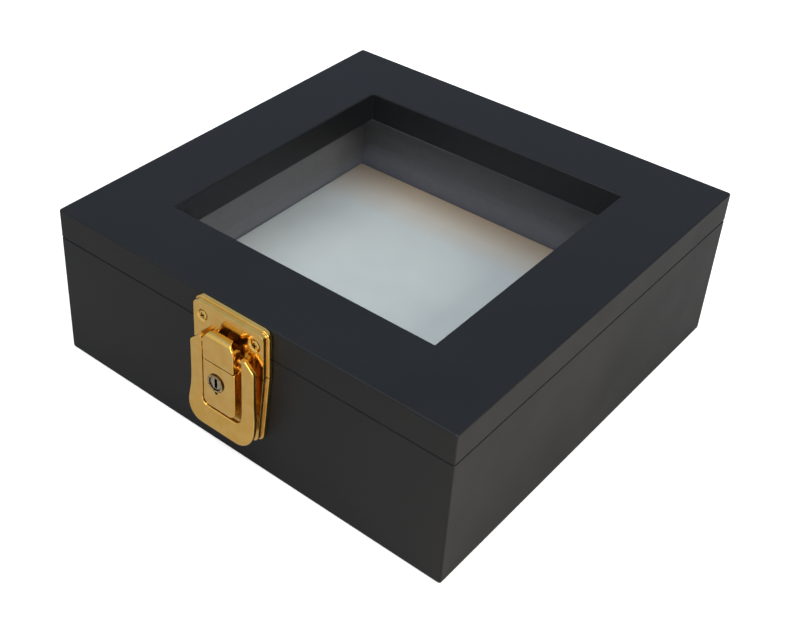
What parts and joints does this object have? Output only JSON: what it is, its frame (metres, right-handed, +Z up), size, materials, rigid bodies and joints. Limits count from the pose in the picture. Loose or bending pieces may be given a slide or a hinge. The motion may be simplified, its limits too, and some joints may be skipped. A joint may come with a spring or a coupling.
{
  "type": "shadow box",
  "caption": "Small square display case with a glazed hinged lid, a white display board inside and a keyed draw latch on its front.",
  "frame": {"origin": "centre of the underside, on the surface that the box stands on", "axes": "+Z up, the latch faces -Y and the hinges are at +Y, +X to the right seen from the front"},
  "size_m": [0.2, 0.2142, 0.0728],
  "materials": {
    "black_lacquer": "satin black lacquer over fibreboard",
    "white_board": "white felt over board",
    "raw_board": "black-faced fibreboard",
    "clear_glass": "clear float glass",
    "brass_plate": "bright brass plate",
    "bright_steel": "polished"
  },
  "bodies": {
    "case": {"back_wall": "black_lacquer", "bottom_panel": "raw_board", "display_board": "white_board", "front_wall": "black_lacquer", "hinge_base_leaf_left": "brass_plate", "hinge_base_leaf_right": "brass_plate", "hinge_base_screw_left_inner": "brass_plate", "hinge_base_screw_left_outer": "brass_plate", "hinge_base_screw_right_inner": "brass_plate", "hinge_base_screw_right_outer": "brass_plate", "hinge_pin_left": "brass_plate", "hinge_pin_right": "brass_plate", "latch_base_plate": "brass_plate", "latch_base_screw_left": "brass_plate", "latch_base_screw_right": "brass_plate", "left_wall": "black_lacquer", "lever_pivot_pin_left": "brass_plate", "lever_pivot_pin_right": "brass_plate", "lock_cylinder": "bright_steel", "lock_housing": "brass_plate", "right_wall": "black_lacquer"},
    "lid": {"catch_plate": "brass_plate", "catch_screw_left": "brass_plate", "catch_screw_right": "brass_plate", "glass_bead_back": "black_lacquer", "glass_bead_front": "black_lacquer", "glass_bead_left": "black_lacquer", "glass_bead_right": "black_lacquer", "glass_pane": "clear_glass", "hinge_lid_leaf_left": "brass_plate", "hinge_lid_leaf_right": "brass_plate", "hinge_lid_screw_left_inner": "brass_plate", "hinge_lid_screw_left_outer": "brass_plate", "hinge_lid_screw_right_inner": "brass_plate", "hinge_lid_screw_right_outer": "brass_plate", "lid_back_rail": "black_lacquer", "lid_front_rail": "black_lacquer", "lid_left_rail": "black_lacquer", "lid_right_rail": "black_lacquer"},
    "lever": {"latch_lever": "brass_plate", "hook_pin": "brass_plate"},
    "hook": {"draw_hook": "brass_plate"},
    "plug": {"key_plug": "bright_steel", "lock_cam": "bright_steel"}
  },
  "joints": [
    {"name": "lid_hinge", "type": "hinge", "parent": "case", "child": "lid", "pos_m": [0, 0.102, 0.05895], "axis": [-1, 0, 0], "range_deg": [0, 100]},
    {"name": "lever_pivot", "type": "hinge", "parent": "case", "child": "lever", "pos_m": [0, -0.1072, 0.0575], "axis": [-1, 0, 0], "range_deg": [0, 130]},
    {"name": "hook_pivot", "type": "hinge", "parent": "lever", "child": "hook", "pos_m": [0, -0.1069, 0.0535], "axis": [-1, 0, 0], "range_deg": [-156, 0]},
    {"name": "lock_turn", "type": "hinge", "parent": "case", "child": "plug", "pos_m": [-0.0013, -0.1, 0.0425], "axis": [0, -1, 0], "range_deg": [0, 90]}
  ],
  "couplings": [
    {"joint": "hook_pivot", "follows": "lever_pivot", "ratio": -1.2}
  ]
}
